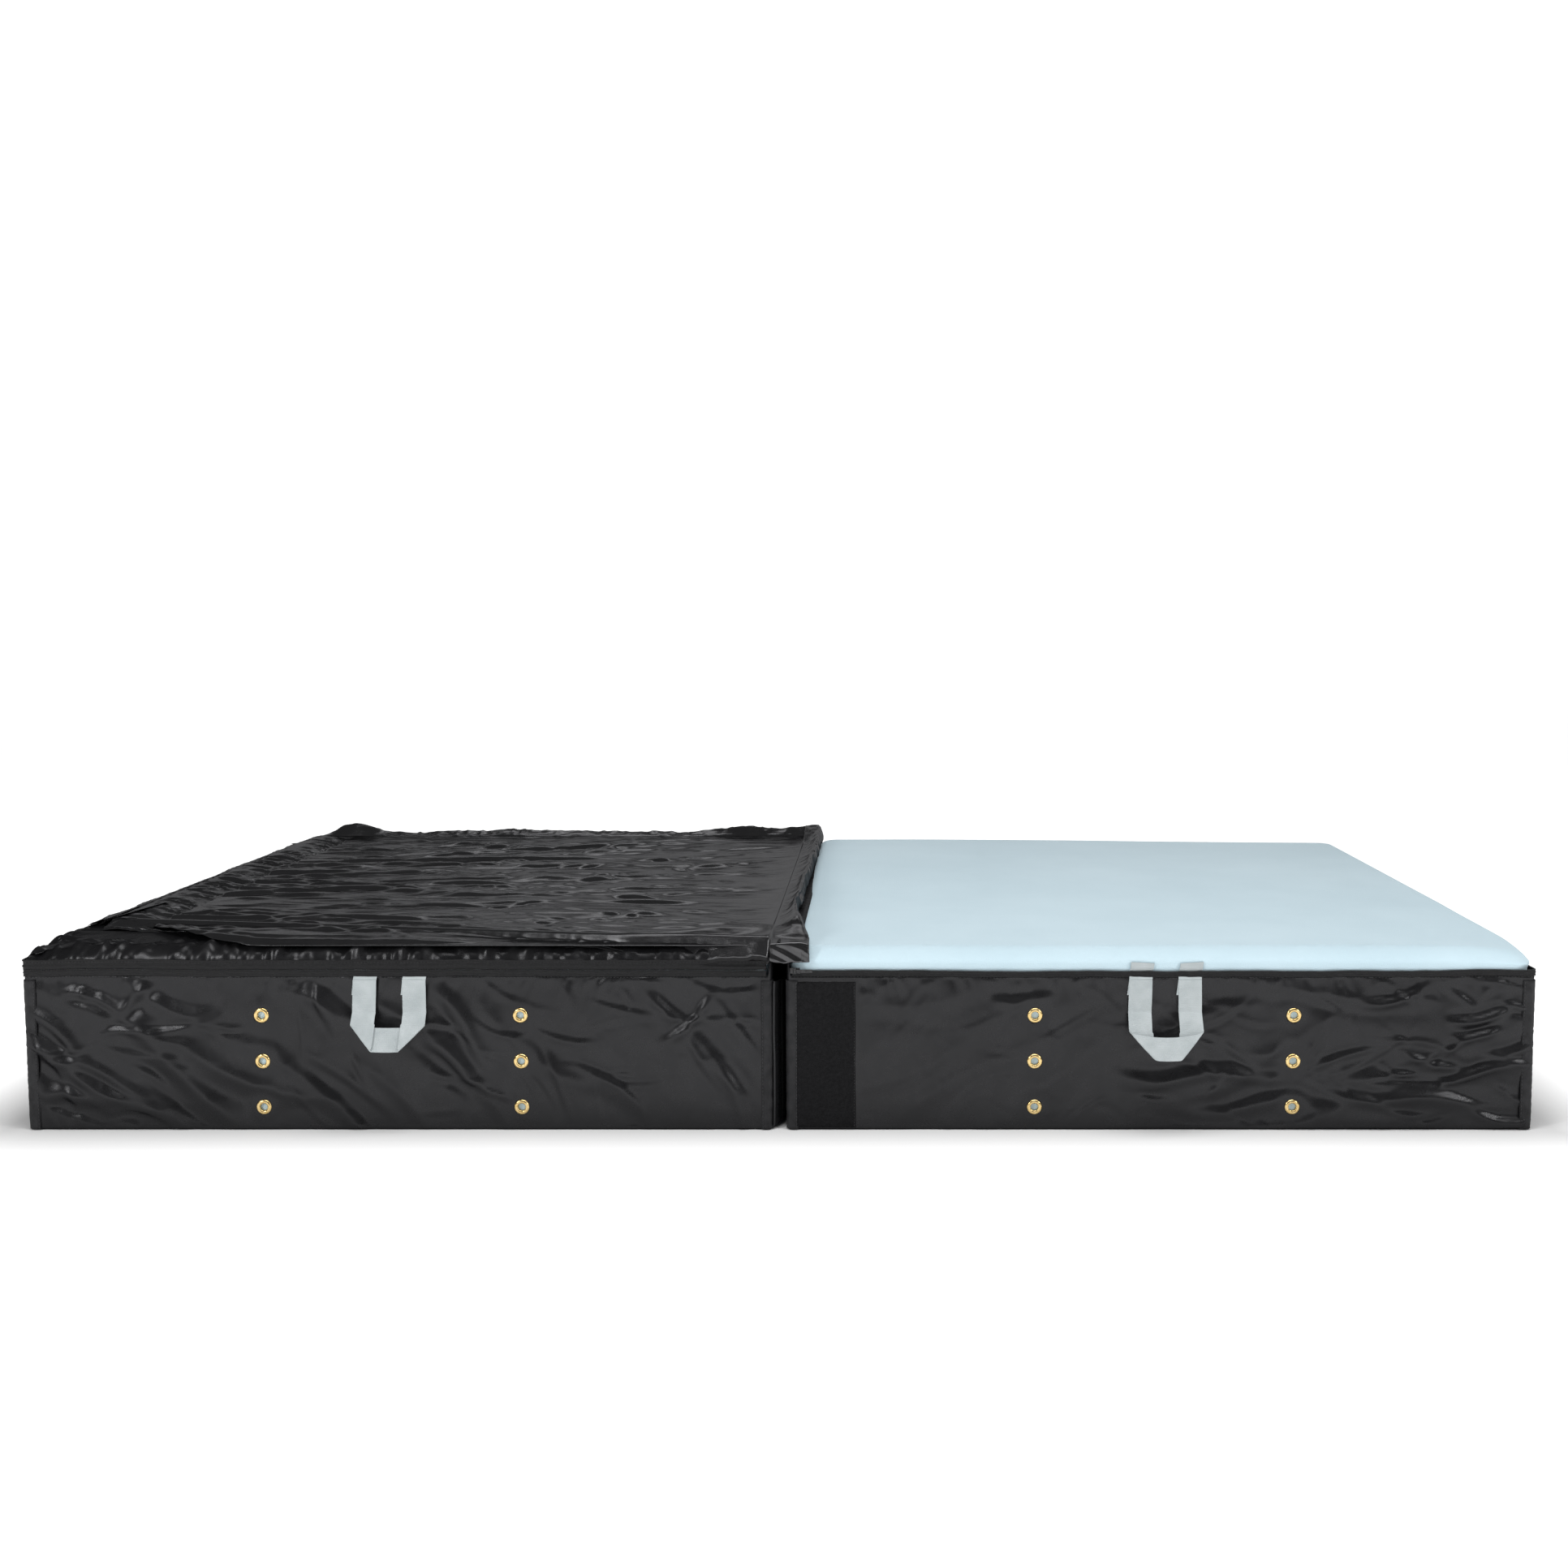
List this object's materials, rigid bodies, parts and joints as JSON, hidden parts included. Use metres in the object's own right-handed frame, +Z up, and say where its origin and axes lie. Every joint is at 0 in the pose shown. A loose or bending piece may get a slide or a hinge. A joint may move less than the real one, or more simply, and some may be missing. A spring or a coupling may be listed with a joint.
{
  "type": "folding gym mat",
  "caption": "Folding crash mat: foam blocks in zipped vinyl covers on a cloth hinge, webbing handles, eyelets, link strips, one lid thrown back.",
  "frame": {"origin": "on the floor under the middle of the unfolded mat", "axes": "+X along the unfolded mat towards the half whose lid is open, +Y towards the back, +Z up"},
  "size_m": [2.5436, 1.3006, 0.3335],
  "materials": {
    "cover_vinyl": "satin",
    "foam": "matte",
    "webbing": "matte",
    "eyelet_brass": "polished",
    "zip_tape": "matte",
    "zip_coil": "gloss",
    "zip_metal": "satin",
    "hook_and_loop": "matte",
    "binding": "satin"
  },
  "bodies": {
    "left_half": {"left_back_eyelets": "eyelet_brass", "left_back_wall": "cover_vinyl", "left_base_sheet": "cover_vinyl", "left_corner_bindings": "binding", "left_end_wall": "cover_vinyl", "left_eyelet_washers": "eyelet_brass", "left_foam_block": "foam", "left_front_eyelets": "eyelet_brass", "left_front_wall": "cover_vinyl", "left_handle_tails": "webbing", "left_hinge_leaf": "cover_vinyl", "left_hinge_wall": "cover_vinyl", "left_hook_strips": "hook_and_loop", "left_lid_band": "cover_vinyl", "left_lid_sheet": "cover_vinyl", "left_link_flaps": "cover_vinyl", "left_lower_zip_tape": "zip_tape", "left_upper_zip_tape": "zip_tape", "left_zip_coil": "zip_coil"},
    "right_half": {"right_back_eyelets": "eyelet_brass", "right_back_loop_strip": "hook_and_loop", "right_back_wall": "cover_vinyl", "right_base_sheet": "cover_vinyl", "right_corner_bindings": "binding", "right_end_wall": "cover_vinyl", "right_eyelet_washers": "eyelet_brass", "right_foam_block": "foam", "right_front_eyelets": "eyelet_brass", "right_front_loop_strip": "hook_and_loop", "right_front_wall": "cover_vinyl", "right_handle_tails": "webbing", "right_hinge_leaf": "cover_vinyl", "right_hinge_wall": "cover_vinyl", "right_lower_zip_tape": "zip_tape", "right_zip_coil": "zip_coil"},
    "right_lid": {"right_lid_sheet": "cover_vinyl", "lid_turn_over": "cover_vinyl"},
    "lid_front_edge": {"lid_front_pleat": "cover_vinyl"},
    "lid_front_band": {"lid_front_band": "cover_vinyl", "lid_front_zip_tape": "zip_tape"},
    "lid_back_band": {"lid_back_band": "cover_vinyl", "lid_back_zip_tape": "zip_tape"},
    "lid_end_band": {"lid_end_band": "cover_vinyl", "lid_end_zip_tape": "zip_tape"},
    "lid_corner_band": {"lid_corner_band": "cover_vinyl", "lid_corner_zip_tape": "zip_tape"},
    "left_front_handle": {"left_front_handle": "webbing"},
    "left_back_handle": {"left_back_handle": "webbing"},
    "left_end_handle": {"left_end_handle": "webbing"},
    "left_front_zip_slider": {"left_front_zip_slider": "zip_metal"},
    "left_front_zip_pull": {"left_front_zip_pull": "zip_metal"},
    "left_back_zip_slider": {"left_back_zip_slider": "zip_metal"},
    "left_back_zip_pull": {"left_back_zip_pull": "zip_metal"},
    "right_front_handle": {"right_front_handle": "webbing"},
    "right_back_handle": {"right_back_handle": "webbing"},
    "right_end_handle": {"right_end_handle": "webbing"},
    "right_front_zip_slider": {"right_front_zip_slider": "zip_metal"},
    "right_front_zip_pull": {"right_front_zip_pull": "zip_metal"},
    "right_back_zip_slider": {"right_back_zip_slider": "zip_metal"},
    "right_back_zip_pull": {"right_back_zip_pull": "zip_metal"}
  },
  "joints": [
    {"name": "fold", "type": "hinge", "parent": "left_half", "child": "right_half", "pos_m": [0, 0, 0.31365], "axis": [0, 1, 0], "range_deg": [-180, 0], "deforming": ["lid_turn_over"]},
    {"name": "lid_turn", "type": "hinge", "parent": "left_half", "child": "right_lid", "pos_m": [0.03, 0, 0.31365], "axis": [0, 1, 0], "range_deg": [0, 180], "deforming": ["lid_turn_over"]},
    {"name": "lid_front_edge_spread", "type": "hinge", "parent": "right_lid", "child": "lid_front_edge", "pos_m": [-0.016, -0.6114, 0.3195], "axis": [0, 0, 1], "range_deg": [0, 8.7]},
    {"name": "lid_front_band_fold", "type": "hinge", "parent": "lid_front_edge", "child": "lid_front_band", "pos_m": [-0.016, -0.6114, 0.3195], "axis": [-0.9885, 0.1513, 0], "range_deg": [0, 90]},
    {"name": "lid_back_band_fold", "type": "hinge", "parent": "right_lid", "child": "lid_back_band", "pos_m": [-0.5, 0.6114, 0.3195], "axis": [1, 0, 0], "range_deg": [0, 90]},
    {"name": "lid_end_band_fold", "type": "hinge", "parent": "right_lid", "child": "lid_end_band", "pos_m": [-1.1729, 0, 0.3195], "axis": [0, 1, 0], "range_deg": [0, 90]},
    {"name": "lid_corner_band_fold", "type": "hinge", "parent": "lid_front_edge", "child": "lid_corner_band", "pos_m": [-1.15959, -0.4364, 0.32175], "axis": [0.1513, 0.9885, 0], "range_deg": [0, 90]},
    {"name": "left_front_handle_lift", "type": "hinge", "parent": "left_half", "child": "left_front_handle", "pos_m": [-0.6335, -0.6123, 0.2497], "axis": [-1, 0, 0], "range_deg": [0, 110]},
    {"name": "left_back_handle_lift", "type": "hinge", "parent": "left_half", "child": "left_back_handle", "pos_m": [-0.6335, 0.6123, 0.2497], "axis": [1, 0, 0], "range_deg": [0, 110]},
    {"name": "left_end_handle_lift", "type": "hinge", "parent": "left_half", "child": "left_end_handle", "pos_m": [-1.2338, 0, 0.2497], "axis": [0, 1, 0], "range_deg": [0, 110]},
    {"name": "right_front_handle_lift", "type": "hinge", "parent": "right_half", "child": "right_front_handle", "pos_m": [0.6275, -0.6123, 0.2497], "axis": [-1, 0, 0], "range_deg": [0, 110]},
    {"name": "right_back_handle_lift", "type": "hinge", "parent": "right_half", "child": "right_back_handle", "pos_m": [0.6275, 0.6123, 0.2497], "axis": [1, 0, 0], "range_deg": [0, 110]},
    {"name": "right_end_handle_lift", "type": "hinge", "parent": "right_half", "child": "right_end_handle", "pos_m": [1.2338, 0, 0.2497], "axis": [0, -1, 0], "range_deg": [0, 110]},
    {"name": "right_front_zip_slide", "type": "slide", "parent": "right_half", "child": "right_front_zip_slider", "axis": [1, 0, 0], "range_m": [0, 1.15]},
    {"name": "right_front_zip_pull_swing", "type": "hinge", "parent": "right_front_zip_slider", "child": "right_front_zip_pull", "pos_m": [0.026, -0.6201, 0.2665], "axis": [0, 0, -1], "range_deg": [0, 180]},
    {"name": "left_front_zip_slide", "type": "slide", "parent": "left_half", "child": "left_front_zip_slider", "axis": [0, -1, 0], "range_m": [0, 0.57]},
    {"name": "left_front_zip_pull_swing", "type": "hinge", "parent": "left_front_zip_slider", "child": "left_front_zip_pull", "pos_m": [-1.2416, -0.024, 0.2665], "axis": [0, 0, -1], "range_deg": [0, 180]},
    {"name": "right_back_zip_slide", "type": "slide", "parent": "right_half", "child": "right_back_zip_slider", "axis": [1, 0, 0], "range_m": [0, 1.15]},
    {"name": "right_back_zip_pull_swing", "type": "hinge", "parent": "right_back_zip_slider", "child": "right_back_zip_pull", "pos_m": [0.026, 0.6201, 0.2665], "axis": [0, 0, 1], "range_deg": [0, 180]},
    {"name": "left_back_zip_slide", "type": "slide", "parent": "left_half", "child": "left_back_zip_slider", "axis": [0, 1, 0], "range_m": [0, 0.57]},
    {"name": "left_back_zip_pull_swing", "type": "hinge", "parent": "left_back_zip_slider", "child": "left_back_zip_pull", "pos_m": [-1.2416, 0.024, 0.2665], "axis": [0, 0, 1], "range_deg": [0, 180]}
  ],
  "couplings": [
    {"joint": "lid_front_edge_spread", "follows": "lid_turn", "ratio": 0.048335},
    {"joint": "lid_front_band_fold", "follows": "lid_turn", "ratio": 0.5},
    {"joint": "lid_back_band_fold", "follows": "lid_turn", "ratio": 0.5},
    {"joint": "lid_end_band_fold", "follows": "lid_turn", "ratio": 0.5},
    {"joint": "lid_corner_band_fold", "follows": "lid_turn", "ratio": 0.5}
  ]
}
